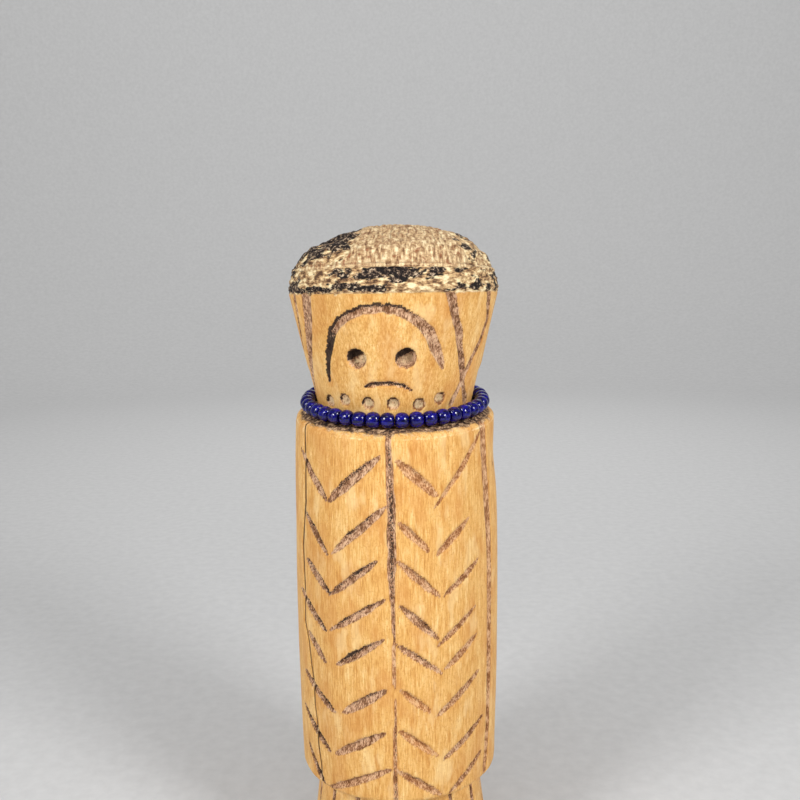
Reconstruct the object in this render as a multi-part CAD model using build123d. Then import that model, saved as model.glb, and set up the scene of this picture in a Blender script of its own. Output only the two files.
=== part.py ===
from build123d import *
import math
import os

# A carved wooden fertility doll with a string of glass beads round its neck.
# Millimetres, +Z up, the doll faces -Y, origin at the centre of the foot.
# A place on the carving is an angle in degrees and a height: angle 0 is the
# front, and positive angles turn towards +X.

# ---- driving dimensions ----
SKIRT_HEIGHT = 40.4
SKIRT_TOP_RADIUS = 28.9
FOOT_RADIUS = 34.0
FOOT_CHAMFER = 1.0

BODY_BOTTOM_RADIUS = 35.1
BODY_MIDDLE_RADIUS = 35.7
BODY_TOP_RADIUS = 34.8
BODY_BOTTOM_ROUNDING = 3.0

SHOULDER_HEIGHT = 171.4      # height of the sawn shoulder on the doll's axis
SHOULDER_SLOPE = 3.9         # degrees, the shoulder falls towards the front
SHOULDER_ROUNDING = 2.0

NECK_RADIUS = 26.1           # head radius where it leaves the shoulder
HEAD_FLARE = 0.2305          # growth of the head's radius for each mm of height
BRIM_HEIGHT = 212.5
BRIM_RADIUS = 36.2
BRIM_THICKNESS = 5.3
BRIM_GROOVE_RADIUS = 34.9
CROWN_BASE_HEIGHT = 218.6
CROWN_BASE_RADIUS = 35.2
CROWN_EDGE = (32.6, 224.0)   # radius and height on the round edge of the crown
CROWN_TURN = (27.0, 228.6)   # where the edge meets the flatter top
CROWN_TOP_HEIGHT = 235.0
CROWN_FLAT_RADIUS = 3.0      # the worn flat spot on top

GROOVE_DEPTH = 0.9           # depth of a knife cut that follows the surface
CHIP_DEPTH = 0.2             # depth of a chip cut at its two ends
CUTTER_REACH = 4.0           # how far a cutter stands out of the wood

SKIRT_GROOVES = 16
SKIRT_GROOVE_WIDTH = 2.2
FIRST_SKIRT_GROOVE = -7.5

# Each chevron row of the two front panels: (outer end, tip of the outer cut,
# tip of the inner cut, inner end), every place an (angle, height).
LEFT_CHEVRONS = [
    ((-64, 159), (-39, 144.5), (-39, 144.5), (-8, 161)),
    ((-59, 138), (-39, 126), (-37, 126.5), (-5, 144)),
    ((-58, 122), (-38, 112.5), (-38, 112.5), (-10, 126.5)),
    ((-67, 109), (-41, 99), (-38, 100), (-6, 113)),
    ((-58, 95), (-41, 87.5), (-35, 88), (-7, 99)),
    ((-64, 80), (-36, 70.5), (-32, 71), (-6, 82)),
    ((-69, 66), (-41, 55), (-38, 55), (-7, 66)),
    ((-65, 55), (-47, 45), (-43, 45), (-3, 55)),
]
RIGHT_CHEVRONS = [
    ((55, 166), (20, 143.5), (23, 147), (0, 159.5)),
    ((42, 138), (21, 127), (17, 129), (1, 139.5)),
    ((51, 123), (25, 113), (22, 113.5), (1, 126)),
    ((47, 106), (20, 96), (22, 98), (1, 111.5)),
    ((48, 96), (25, 87), (24, 86.5), (-1, 98)),
    ((50, 83), (20, 71), (17, 73), (0, 82)),
    ((56, 65), (24, 55), (22, 57), (0, 67)),
    ((54, 53), (29, 45), (24, 45), (-1, 54)),
]
INNER_CUT_WIDTH = 3.0
OUTER_CUT_WIDTH = 1.9

# Long knife lines of the body: runs of (angle, height), and a width.
CENTRE_LINE = [(-3.5, 172), (-2.5, 146), (-2.5, 118), (-1.5, 100), (-2, 72), (-2, 39)]
CENTRE_LINE_WIDTH = 2.6
BORDER_LINE = [(57.5, 172), (58, 155), (62, 126), (62, 70), (59, 45)]
BORDER_LINE_WIDTH = 2.0

# Bands cut down the sides and back of the head: (places from top to bottom), width.
HEAD_BANDS = [
    ([(30, 211.5), (40, 199), (49, 184), (58, 176)], 3.4),
    ([(61, 211.5), (67, 203), (63, 195), (52, 186), (44, 176)], 2.2),
    ([(82, 211.5), (80, 176)], 2.2),
    ([(-54, 211.5), (-64, 193), (-76, 178)], 3.8),
    ([(-67, 211.5), (-77, 193), (-88, 178)], 2.4),
    ([(112, 211.5), (118, 177)], 3.0),
    ([(150, 211.5), (144, 177)], 3.0),
    ([(-172, 211.5), (-166, 177)], 3.0),
    ([(-132, 211.5), (-138, 177)], 3.0),
    ([(-102, 211.5), (-108, 177)], 2.6),
]

# The incised face, in a plane that looks along the face's direction.
FACE_ANGLE = -8.0
EYE_HEIGHT = 192.3
EYE_SPREAD = 15.0            # degrees from the middle of the face to an eye
EYE_DIAMETER = 6.2
EYE_DEPTH = 3.0
HOOD_CENTRE_HEIGHT = 191.5
HOOD_RADIUS = 17.7
HOOD_WIDTH = 2.7
HOOD_LEFT_END = 184.0
HOOD_RIGHT_END = 189.0
MOUTH_HEIGHT = 183.9
MOUTH_OFFSET = 2.4
MOUTH_RADIUS = 16.0
MOUTH_HALF_LENGTH = 7.6
MOUTH_WIDTH = 1.5
DOT_ANGLES = [-51.5, -36, -18, -1, 17, 33]
DOT_HEIGHT = 177.2
DOT_DIAMETER = 3.7
DOT_DEPTH = 1.0

# The necklace lies on the shoulder, in the shoulder's slope.
BEAD_COUNT = 40
BEAD_DIAMETER = 5.0
BEAD_LENGTH = 4.5
BEAD_BORE = 1.4
BEAD_ROUNDING = 1.7
BEAD_PITCH = 4.7
NECKLACE_RADIUS = 30.8
NECKLACE_CLEARANCE = 0.15    # under the largest bead
THREAD_DIAMETER = 0.8
KNOT_DIAMETER = 2.4
KNOT_BORE = 1.1
TAIL_LENGTH = 6.0
TAIL_DIAMETER = 0.7
TAIL_SPREAD = 28.0           # degrees each tail turns away from straight outwards
TAIL_DROOP = 15.0

os.makedirs("parts", exist_ok=True)


def body_radius(height):
    """Radius of the barrel-shaped body, widest halfway up."""
    share = (height - SKIRT_HEIGHT) / (SHOULDER_HEIGHT - SKIRT_HEIGHT)
    straight = BODY_BOTTOM_RADIUS + (BODY_TOP_RADIUS - BODY_BOTTOM_RADIUS) * share
    bulge = BODY_MIDDLE_RADIUS - (BODY_BOTTOM_RADIUS + BODY_TOP_RADIUS) / 2
    return straight + bulge * 4 * share * (1 - share)


def head_radius(height):
    """Radius of the flared head below the brim."""
    return NECK_RADIUS + HEAD_FLARE * (height - SHOULDER_HEIGHT)


def skirt_radius(height):
    """Radius of the flared skirt under the body."""
    return FOOT_RADIUS + (SKIRT_TOP_RADIUS - FOOT_RADIUS) * height / SKIRT_HEIGHT


def outward(angle):
    """Unit vector out of the doll's axis at an angle from the front."""
    turn = math.radians(angle)
    return Vector(math.sin(turn), -math.cos(turn), 0)


def on_surface(place, radius_at):
    angle, height = place
    return outward(angle) * radius_at(height) + Vector(0, 0, height)


def knife_cut(start, end, width, depth, radius_at):
    """V-shaped prism between two places: deepest where the wood bulges over it."""
    first = on_surface(start, radius_at)
    last = on_surface(end, radius_at)
    along = (last - first).normalized()
    middle = (first + last) * 0.5
    out = Vector(middle.X, middle.Y, 0).normalized()
    bulge = radius_at(middle.Z) - math.hypot(middle.X, middle.Y)
    slope = width / 2 / (depth + max(bulge, 0))
    half_top = slope * (depth + CUTTER_REACH)
    section = Plane(origin=first, x_dir=out.cross(along), z_dir=along) * Polygon(
        (0, -depth), (half_top, CUTTER_REACH), (-half_top, CUTTER_REACH), align=None
    )
    return extrude(section, amount=(last - first).length)


def knife_line(places, width, radius_at):
    """Knife cuts end to end through a run of places."""
    return [
        knife_cut(start, end, width, GROOVE_DEPTH, radius_at)
        for start, end in zip(places, places[1:])
    ]


def make_blank():
    """The turned-looking blank: skirt, barrel body with a sawn shoulder, head and crown."""
    skirt_outline = Polyline(
        (0, 0),
        (FOOT_RADIUS - FOOT_CHAMFER, 0),
        (skirt_radius(FOOT_CHAMFER), FOOT_CHAMFER),
        (SKIRT_TOP_RADIUS, SKIRT_HEIGHT),
        (SKIRT_TOP_RADIUS, SKIRT_HEIGHT + 1),
        (0, SKIRT_HEIGHT + 1),
        close=True,
    )
    skirt = revolve(Plane.XZ * make_face(skirt_outline), Axis.Z)

    body_top = SHOULDER_HEIGHT + 6
    body_middle = (SKIRT_HEIGHT + SHOULDER_HEIGHT) / 2
    side = ThreePointArc(
        (BODY_BOTTOM_RADIUS, SKIRT_HEIGHT),
        (BODY_MIDDLE_RADIUS, body_middle),
        (body_radius(body_top), body_top),
    )
    rest = Polyline(side @ 1, (0, body_top), (0, SKIRT_HEIGHT), side @ 0)
    body = revolve(Plane.XZ * make_face([side, rest]), Axis.Z)
    saw_plane = Plane(origin=(0, 0, SHOULDER_HEIGHT)).rotated((SHOULDER_SLOPE, 0, 0))
    waste = extrude(saw_plane * Rectangle(100, 100), amount=20)
    body -= waste
    rims = body.edges().filter_by(GeomType.LINE, reverse=True).sort_by(Axis.Z)
    body = fillet([rims[-1]], SHOULDER_ROUNDING)
    rims = body.edges().filter_by(GeomType.CIRCLE).sort_by(Axis.Z)
    body = fillet([rims[0]], BODY_BOTTOM_ROUNDING)

    brim_top = BRIM_HEIGHT + BRIM_THICKNESS
    head_foot = SHOULDER_HEIGHT - 5
    turn_radius, turn_height = CROWN_TURN
    top_drop = CROWN_TOP_HEIGHT - turn_height
    top_radius = (turn_radius**2 + top_drop**2) / (2 * top_drop)
    half_radius = turn_radius / 2
    half_height = CROWN_TOP_HEIGHT - top_radius + math.sqrt(top_radius**2 - half_radius**2)
    side = Polyline(
        (CROWN_FLAT_RADIUS, CROWN_TOP_HEIGHT),
        (0, CROWN_TOP_HEIGHT),
        (0, head_foot),
        (head_radius(head_foot), head_foot),
        (head_radius(BRIM_HEIGHT - 0.5), BRIM_HEIGHT - 0.5),
        (BRIM_RADIUS, BRIM_HEIGHT),
        (BRIM_RADIUS, brim_top - 1),
        (BRIM_RADIUS - 0.6, brim_top),
        (BRIM_GROOVE_RADIUS, brim_top + 0.4),
        (CROWN_BASE_RADIUS, CROWN_BASE_HEIGHT),
    )
    crown_edge = ThreePointArc(side @ 1, CROWN_EDGE, CROWN_TURN)
    crown_top = ThreePointArc(CROWN_TURN, (half_radius, half_height), side @ 0)
    head = revolve(Plane.XZ * make_face([side, crown_edge, crown_top]), Axis.Z)
    return skirt + body + head


def face_plane():
    turn = math.radians(FACE_ANGLE)
    return Plane(
        origin=(0, 0, 0),
        x_dir=(math.cos(turn), math.sin(turn), 0),
        z_dir=(math.sin(turn), -math.cos(turn), 0),
    )


def hood_sketch():
    """The arch over the eyes: half a ring on two uneven legs."""
    ring = Circle(HOOD_RADIUS + HOOD_WIDTH / 2) - Circle(HOOD_RADIUS - HOOD_WIDTH / 2)
    ring &= Pos(0, HOOD_RADIUS) * Rectangle(4 * HOOD_RADIUS, 2 * HOOD_RADIUS)
    arch = Pos(0, HOOD_CENTRE_HEIGHT) * ring
    for side, end in ((-1, HOOD_LEFT_END), (1, HOOD_RIGHT_END)):
        leg_height = HOOD_CENTRE_HEIGHT - end + 0.5
        leg_place = Pos(side * HOOD_RADIUS, end + leg_height / 2)
        arch += leg_place * Rectangle(HOOD_WIDTH, leg_height)
    return arch


def mouth_sketch():
    """A thin arc, bowed upwards."""
    ring = Circle(MOUTH_RADIUS + MOUTH_WIDTH / 2) - Circle(MOUTH_RADIUS - MOUTH_WIDTH / 2)
    ring &= Pos(0, MOUTH_RADIUS) * Rectangle(2 * MOUTH_HALF_LENGTH, MOUTH_RADIUS)
    return Pos(MOUTH_OFFSET, MOUTH_HEIGHT - MOUTH_RADIUS) * ring


def face_cutters():
    """Arch and mouth, cut to an even depth under the head's surface."""
    core = revolve(
        Plane.XZ
        * make_face(
            Polyline(
                (0, SHOULDER_HEIGHT),
                (head_radius(SHOULDER_HEIGHT) - GROOVE_DEPTH, SHOULDER_HEIGHT),
                (head_radius(BRIM_HEIGHT) - GROOVE_DEPTH, BRIM_HEIGHT),
                (0, BRIM_HEIGHT),
                close=True,
            )
        ),
        Axis.Z,
    )
    cutters = []
    for sketch in (hood_sketch(), mouth_sketch()):
        prism = extrude(face_plane() * sketch, amount=2 * BRIM_RADIUS)
        cutters.append(prism - core)
    return cutters


def drilled_hole(place, diameter, depth):
    """A round hole with a flat floor, drilled towards the doll's axis."""
    mouth = on_surface(place, head_radius)
    floor = mouth - outward(place[0]) * depth
    length = depth + CUTTER_REACH
    return Plane(origin=floor, z_dir=outward(place[0])) * Pos(0, 0, length / 2) * Cylinder(
        diameter / 2, length
    )


def chevron_cutters():
    cutters = []
    for outer_end, outer_tip, inner_tip, inner_end in LEFT_CHEVRONS + RIGHT_CHEVRONS:
        cutters.append(knife_cut(outer_tip, outer_end, OUTER_CUT_WIDTH, CHIP_DEPTH, body_radius))
        cutters.append(knife_cut(inner_tip, inner_end, INNER_CUT_WIDTH, CHIP_DEPTH, body_radius))
    return cutters


def skirt_cutters():
    cutters = []
    for index in range(SKIRT_GROOVES):
        angle = FIRST_SKIRT_GROOVE + 360 / SKIRT_GROOVES * index
        groove = [(angle, -1), (angle, SKIRT_HEIGHT - 0.8)]
        cutters += knife_line(groove, SKIRT_GROOVE_WIDTH, skirt_radius)
    return cutters


def hole_cutters():
    """The two drilled eyes and the row of shallow dots under the mouth."""
    eyes = [(FACE_ANGLE - EYE_SPREAD, EYE_HEIGHT), (FACE_ANGLE + EYE_SPREAD, EYE_HEIGHT)]
    dots = [(angle, DOT_HEIGHT) for angle in DOT_ANGLES]
    cutters = [drilled_hole(eye, EYE_DIAMETER, EYE_DEPTH) for eye in eyes]
    cutters += [drilled_hole(dot, DOT_DIAMETER, DOT_DEPTH) for dot in dots]
    return cutters


def make_carved_figure():
    """The blank with every cut made in it, one kind of cut after another."""
    figure = make_blank() - chevron_cutters()
    figure -= knife_line(CENTRE_LINE, CENTRE_LINE_WIDTH, body_radius)
    figure -= knife_line(BORDER_LINE, BORDER_LINE_WIDTH, body_radius)
    for places, width in HEAD_BANDS:
        figure -= knife_line(places, width, head_radius)
    figure -= skirt_cutters()
    figure -= face_cutters()
    figure -= hole_cutters()
    return figure


def necklace_place(angle):
    """Frame on the thread at an angle from the front, its Z along the thread."""
    along = Vector(math.cos(math.radians(angle)), math.sin(math.radians(angle)), 0)
    height = SHOULDER_HEIGHT + BEAD_DIAMETER / 2 + NECKLACE_CLEARANCE
    centre = Location((0, 0, height), (SHOULDER_SLOPE, 0, 0))
    return centre * Plane(origin=outward(angle) * NECKLACE_RADIUS, x_dir=(0, 0, 1), z_dir=along).location


def bead_angle(number):
    """Angle of bead 1 to BEAD_COUNT; the knot's gap between first and last is at the back."""
    step = math.degrees(BEAD_PITCH / NECKLACE_RADIUS)
    return (number - (BEAD_COUNT + 1) / 2) * step


def make_bead(number):
    """A wound glass bead: no two are quite the same length and girth."""
    diameter = BEAD_DIAMETER * (1 - 0.02 + 0.02 * math.sin(2.4 * number))
    length = BEAD_LENGTH * (1 - 0.02 + 0.02 * math.cos(1.7 * number))
    profile = Pos(diameter / 4 + BEAD_BORE / 4, 0) * Rectangle(diameter / 2 - BEAD_BORE / 2, length)
    outer_corners = profile.vertices().group_by(Axis.X)[-1]
    profile = fillet(outer_corners, BEAD_ROUNDING)
    glass = revolve(Plane.XZ * profile, Axis.Z)
    return necklace_place(bead_angle(number)) * glass


def make_thread():
    height = SHOULDER_HEIGHT + BEAD_DIAMETER / 2 + NECKLACE_CLEARANCE
    return Location((0, 0, height), (SHOULDER_SLOPE, 0, 0)) * Torus(NECKLACE_RADIUS, THREAD_DIAMETER / 2)


def make_knot():
    """A small knot on the thread with two cut tails that spread outwards and droop."""
    tail = Pos(0, 0, KNOT_BORE) * Cylinder(
        TAIL_DIAMETER / 2, TAIL_LENGTH, align=(Align.CENTER, Align.CENTER, Align.MIN)
    )
    knot = Sphere(KNOT_DIAMETER / 2)
    for spread in (-TAIL_SPREAD, TAIL_SPREAD):
        knot += Rot(0, 0, TAIL_DROOP) * Rot(spread - 90, 0, 0) * tail
    knot -= Cylinder(KNOT_BORE / 2, 2 * KNOT_DIAMETER)
    return necklace_place(180) * knot


export_step(make_carved_figure(), "parts/carved_figure.step")
for bead_number in range(1, BEAD_COUNT + 1):
    export_step(make_bead(bead_number), f"parts/bead_{bead_number:02d}.step")
export_step(make_thread(), "parts/necklace_thread.step")
export_step(make_knot(), "parts/necklace_knot.step")
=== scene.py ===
import math

import bmesh
import bpy
import numpy as np
from mathutils import Matrix, Vector


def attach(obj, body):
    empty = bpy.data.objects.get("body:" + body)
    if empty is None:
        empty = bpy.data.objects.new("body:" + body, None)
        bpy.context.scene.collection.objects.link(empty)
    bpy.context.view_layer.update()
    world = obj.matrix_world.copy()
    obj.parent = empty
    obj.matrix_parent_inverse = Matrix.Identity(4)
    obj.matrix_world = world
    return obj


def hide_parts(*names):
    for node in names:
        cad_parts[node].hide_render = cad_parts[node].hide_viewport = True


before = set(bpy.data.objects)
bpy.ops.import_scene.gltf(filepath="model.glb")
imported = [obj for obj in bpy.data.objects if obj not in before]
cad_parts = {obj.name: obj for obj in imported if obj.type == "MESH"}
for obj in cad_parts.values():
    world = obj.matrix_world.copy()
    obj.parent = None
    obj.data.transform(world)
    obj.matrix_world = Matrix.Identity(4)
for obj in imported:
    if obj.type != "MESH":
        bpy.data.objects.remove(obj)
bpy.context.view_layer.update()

# A carved wooden fertility doll with a string of glass beads round its neck.
# Shapes are worked out in millimetres and turned into metres as meshes.
# A place on the carving is an angle in degrees and a height: angle 0 is the
# front, -Y, and positive angles turn towards +X.
MM = 0.001

# ---- the blank, as in the part ----
SKIRT_HEIGHT = 40.4
SKIRT_TOP_RADIUS = 28.9
FOOT_RADIUS = 34.0
BODY_BOTTOM_RADIUS = 35.4
BODY_MIDDLE_RADIUS = 36.4
BODY_TOP_RADIUS = 34.9
BODY_BOTTOM_ROUNDING = 1.6
SHOULDER_HEIGHT = 171.4
SHOULDER_SLOPE = math.radians(3.9)
SHOULDER_ROUNDING = 2.0
SHOULDER_FALL = 0.8     # how much lower the ledge is at its rim, outside the beads
NECK_RADIUS = 26.1
HEAD_FLARE = 0.2305
BRIM_HEIGHT = 212.5
BRIM_RADIUS = 36.4
BRIM_TOP = 217.8
BRIM_GROOVE_RADIUS = 34.8
CROWN_BASE = (35.2, 218.6)
CROWN_EDGE = (32.6, 224.0)
CROWN_TURN = (27.0, 228.6)
CROWN_TOP_HEIGHT = 235.0
HEAD_FULLNESS = 0.8     # how far the finished head stands out from the plain cone
NAPE_HOLLOW = 0.4       # how far the back of the neck is cut in, to clear the lifted necklace
# How far the brim's front has warped upwards: (height, rise) at angle 0.
BRIM_WARP = [(204, 0.0), (212.5, 1.7), (218.4, 2.9), (230, 0.0)]
CROWN_TILT = 0.028

# ---- how fine the carving's mesh is, in mm ----
# Runs of columns round the doll: (first angle, last angle, width of a column).
COLUMN_RUNS = [
    (-180, -95, 1.4), (-95, -66, 0.66),
    (-66, -49, 0.36),     # the drying crack
    (-49, 75, 0.59), (75, 95, 0.66), (95, 180, 1.4),
]
# How far apart the rows up the outline are.
SKIRT_ROWS = 1.8
SKIRT_TOP_ROWS = 0.9
UNDERSIDE_ROWS = 1.1
BODY_ROWS = 0.78
LEDGE_ROWS = 0.6
HEAD_ROWS = 0.62
BRIM_ROWS = 0.5
CROWN_ROWS = 0.62
CROWN_TOP_ROWS = 0.7
CROWN_EYE = 1.5         # the last row's radius

# ---- the knife's strokes ----
LEAST_RADIUS = 28       # about the least radius that is carved, to turn a width into an angle
FULL_DEPTH_WIDTH = 1.6  # a line narrower than this is cut less deep
CHIP_DEPTH = 1.4
# Chips of the two front panels: (angle and height of one end, angle and height of the
# other, width, tone). Tone is how dark the old stain in the cut still is.
LEFT_CHIPS = [
    (-65, 160, -39, 144.3, 3.2, 0.8), (-39.5, 144.2, -8, 161, 4.3, 0.8),
    (-60, 139, -39, 126, 3.1, 0.95), (-37, 126.7, -5, 144.5, 3.5, 0.7),
    (-59, 122.5, -37.5, 112.5, 3.2, 1), (-38, 112.6, -9.5, 126.5, 3.1, 0.9),
    (-67.5, 110, -41, 99, 3.2, 1), (-38.5, 100, -5.5, 113.5, 2.9, 0.8),
    (-59, 96, -41.5, 87.5, 3.1, 0.9), (-35, 88, -7, 99.5, 3.2, 0.9),
    (-65, 80.5, -36, 70.5, 3.2, 0.9), (-32.5, 71, -5.5, 82, 4, 0.7),
    (-69.5, 67, -41, 55, 3, 1), (-38, 55, -6.5, 66.5, 3.5, 0.6),
    (-65, 53, -47, 40.5, 3, 1), (-45.5, 40.5, -3, 53.5, 2.9, 0.5),
]
RIGHT_CHIPS = [
    (55.5, 167, 20, 143.3, 2.2, 0.3), (23, 146.8, 0, 160, 4.1, 0.35),
    (42, 137.8, 21, 127.3, 2.8, 0.35), (17.5, 129, 0.5, 139.7, 3.1, 0.35),
    (51, 123, 24.8, 113, 2.3, 0.45), (22.5, 113.3, 0.2, 126.5, 3.1, 0.45),
    (47, 106.5, 19.8, 95.5, 2.2, 0.45), (22.3, 98.3, 0.6, 111.7, 3.1, 0.6),
    (48.5, 96.5, 25.5, 87.3, 2.6, 0.4), (24, 86.3, -2, 98.3, 2.4, 0.6),
    (50, 82.7, 20.4, 71, 3, 0.45), (17.5, 73, 0, 82.2, 2.6, 0.15),
    (55.7, 65.3, 24.3, 54.5, 2.6, 0.55), (22, 56.5, -0.4, 67.4, 3, 0.2),
    (54.6, 52, 29, 41.5, 2.5, 0.5), (24.5, 41.5, -1.8, 53, 2.8, 0.4),
]

# Long lines are runs of (angle, height, width).
# The centre line is deepest and darkest at half height, with soot and painted shade in its floor: (run,
# depth, tone, soot_and_shade).
CENTRE_LINE = [
    ([(-3.5, 169, 2.4), (-3.5, 159.5, 2.5), (-2.5, 148, 3.1)], 0.9, 0.8, 0.42),
    ([(-2.5, 148, 3.1), (-2.5, 134, 3.6), (-2.6, 120, 3)], 1, 0.9, 0.58),
    ([(-2.6, 120, 3), (-2.3, 112, 1.8), (-1.6, 100, 1.6)], 0.9, 0.7, 0.52),
    ([(-1.6, 100, 1.6), (-2, 91, 1.1), (-1.8, 80, 0.7)], 0.7, 0.4, 0.4),
    ([(-1.8, 80, 0.7), (-1.5, 72, 1.4), (-2, 56, 1.5), (-2, 41, 1.8)], 0.7, 0.4, 0.42),
]
NICK = (78.5, 158.5, 75.5, 151.5, 4.6, 1)  # a deep nick in the right-hand side
HOLLOW = (84, 155, 0.9)     # a shallow hollow round it: (angle, height, depth)
BORDER_LINE = [
    (57.5, 170, 4.4), (58, 155, 4.6), (60, 141, 4.8), (62, 126, 4.6), (62, 80, 4),
    (61.8, 65, 4), (60.5, 52, 3.4), (59, 42, 2.6),
]
CRACK = [
    (-61, 170, 1.2), (-59.5, 156, 1.3), (-59.5, 142, 1.3), (-64, 126, 1.3), (-62, 110, 1.3),
    (-63, 98.5, 1.2), (-58.5, 92, 1.1), (-57, 85, 1), (-54.5, 78, 1), (-54.5, 70, 0.9),
    (-52.5, 63, 0.9), (-52.5, 55, 0.9), (-50.5, 48, 0.9), (-50.5, 40.5, 0.8),
]
HOOD = [
    (-46.5, 183.5, 0.8), (-45, 188, 2.1), (-41, 194.5, 2.7), (-36, 200.3, 3.2),
    (-30.5, 203.7, 3.4), (-23.5, 206.1, 3.2), (-15.5, 207.8, 3.2), (-6, 208.4, 3.3),
    (2.7, 207.6, 3.5), (9, 205.5, 3.8), (15, 203.1, 4.1), (20.7, 199.8, 4.5), (24.3, 195.3, 4.5),
    (28, 191.8, 3.4), (31.5, 188, 0.9),
]
MOUTH = [
    (-19, 182.6, 0.9), (-16, 183.2, 1.9), (-11, 183.7, 2), (-2.2, 183.9, 1.9),
    (5.5, 183, 1.8), (11.5, 181.2, 0.8),
]
HEAD_BANDS = [
    [(29.5, 214.5, 4), (34.5, 206.5, 3.9), (39.7, 199, 3.5), (49, 184.5, 2.8), (59, 175, 2.6)],
    [(61, 213.5, 3.4), (67, 203, 3.2), (63, 195.5, 2.6), (56.5, 190.5, 2.2), (43.7, 175.5, 2.8)],
    [(82, 212.5, 3), (80, 174, 2.6)],
    [(-52, 214, 6.6), (-55.5, 204, 5.6), (-63, 193.5, 4.8), (-70, 185, 3.8), (-76, 176, 3.2)],
    [(-66, 213.5, 2.8), (-70, 203, 2.6), (-77, 193, 2.2), (-88, 176, 2)],
]
# The bands behind are straight: (angle at the top, angle at the bottom, width).
for top, bottom, width in [
    (112, 118, 3), (150, 144, 3), (-172, -166, 3), (-132, -138, 3), (-102, -108, 2.6),
]:
    HEAD_BANDS.append([(top, 212.5, width), (bottom, 175, width)])
EYES = [(-22.8, 191.9), (7.1, 192)]
EYE_RADIUS = 3.5
EYE_DEPTH = 3.2
DOTS = [(-50.5, 176.5), (-35.7, 177.6), (-17.8, 177), (-0.9, 176.9), (16.7, 176.4), (31.8, 178)]
DOT_RADIUS = 2.2
DOT_DEPTH = 1.0
# How burnt the brim is at its top, in its middle and along its lower edge, by angle.
BRIM_BURN = [
    (-180, 0.5, 0.3, 0.5), (-100, 0.5, 0.4, 0.7), (-62, 0.1, 0.6, 0.9), (-48, 0, 0, 0.9),
    (-37, 0.1, 0, 0.8), (-30, 0.7, 0.6, 0.7), (-18, 0.7, 0.5, 0.6), (-8, 0.8, 0, 0.9),
    (-2, 1, 0.3, 0.4), (4, 0.9, 1, 0.1), (9, 0.6, 0, 0.3), (22, 0.6, 0, 0),
    (29, 0.5, 0.1, 0.5), (40, 0.6, 0.5, 0.3), (50, 0.3, 0.5, 0.9), (65, 0.4, 0.4, 0.2),
    (85, 0.6, 0.5, 0.5), (180, 0.5, 0.3, 0.5),
]
SKIRT_GROOVES = 16
SKIRT_GROOVE_WIDTH = 2.2
FIRST_SKIRT_GROOVE = -7.5
GROOVE_DEPTH = 0.9
# The crown's torn grain, the brim's burnt layers and how far the ledge is worn down, in mm.
TORN_SPACING = 2.35
BRIM_LAYER = 2.6
LEDGE_SINK = 0.27

# ---- the necklace ----
BEAD_COUNT = 40
BEAD_DIAMETER = 5.4
BEAD_LENGTH = 4.5
BEAD_BORE = 1.4
BEAD_PITCH = 4.7
NECKLACE_RADIUS = 30.8
NECKLACE_HEIGHT = SHOULDER_HEIGHT + 2.65
THREAD_DIAMETER = 0.8
THREAD_END = 0.7        # how far the thread's ends are from the back, in degrees
THREAD_POINTS = 36
KNOT_POINTS = 72
TAIL_POINTS = 15
TAIL_SLANT = math.tan(math.radians(28))     # of each tail, from straight out


# ---- small helpers ----


def smooth_step(low, high, value):
    """0 below low, 1 above high, and a smooth rise between them."""
    share = np.clip((value - low) / (high - low), 0, 1)
    return share * share * (3 - 2 * share)


def bell(offset, width):
    """1 where offset is 0, and almost nothing at twice the width."""
    return np.exp(-((offset / width) ** 2))


def lattice(ix, iy, iz, seed):
    """A fixed random number from -1 to 1 for each corner of a lattice."""
    mixed = ix * 73856093 ^ iy * 19349663 ^ iz * 83492791 ^ (seed * 2654435 + 97)
    mixed = (mixed ^ (mixed >> 13)) * 1274126177 & 0xFFFFFFFF
    mixed = (mixed ^ (mixed >> 15)) * 668265263 & 0xFFFFFFFF
    return ((mixed ^ (mixed >> 16)) & 0xFFFF) / 32767.5 - 1


def noise(points, size, seed=0):
    """Smooth noise from -1 to 1 at points in mm, with lumps of that size."""
    scaled = points / np.asarray(size, float)
    cell = np.floor(scaled).astype(np.int64)
    part = scaled - cell
    part = part * part * (3 - 2 * part)
    total = np.zeros(len(points))
    for corner in range(8):
        step = np.array([corner & 1, corner >> 1 & 1, corner >> 2])
        weight = np.prod(np.where(step, part, 1 - part), axis=1)
        total += weight * lattice(*(cell + step).T, seed)
    return total


def body_radius(height):
    share = (height - SKIRT_HEIGHT) / (SHOULDER_HEIGHT - SKIRT_HEIGHT)
    straight = BODY_BOTTOM_RADIUS + (BODY_TOP_RADIUS - BODY_BOTTOM_RADIUS) * share
    bulge = BODY_MIDDLE_RADIUS - (BODY_BOTTOM_RADIUS + BODY_TOP_RADIUS) / 2
    return straight + bulge * 4 * share * (1 - share)


def head_radius(height):
    return NECK_RADIUS + HEAD_FLARE * (height - SHOULDER_HEIGHT)


def skirt_radius(height):
    return FOOT_RADIUS + (SKIRT_TOP_RADIUS - FOOT_RADIUS) * height / SKIRT_HEIGHT


def steps(first, last, size):
    """Evenly spaced values from first up to, but without, last."""
    count = max(1, round(abs(last - first) / size))
    return np.linspace(first, last, count, endpoint=False)


def arc(centre, radius, start, end, count):
    """Points (radius, height) round a corner, from start to end degrees."""
    turn = np.radians(np.linspace(start, end, count))
    return centre[0] + radius * np.cos(turn), centre[1] + radius * np.sin(turn)


def three_point_arc(start, middle, end, size):
    """Points on the circle through three points, without the last."""
    a, b, c = (complex(*point) for point in (start, middle, end))
    ratio = (c - a) / (b - a)
    centre = a + (b - a) * (ratio - abs(ratio) ** 2) / (2j * ratio.imag)
    radius = abs(a - centre)
    first, last = np.angle([a - centre, c - centre])
    points = centre + radius * np.exp(1j * steps(first, last, size / radius))
    return points.real, points.imag


def add_object(name, data):
    made = bpy.data.objects.new(name, data)
    bpy.context.scene.collection.objects.link(made)
    return made


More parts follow.
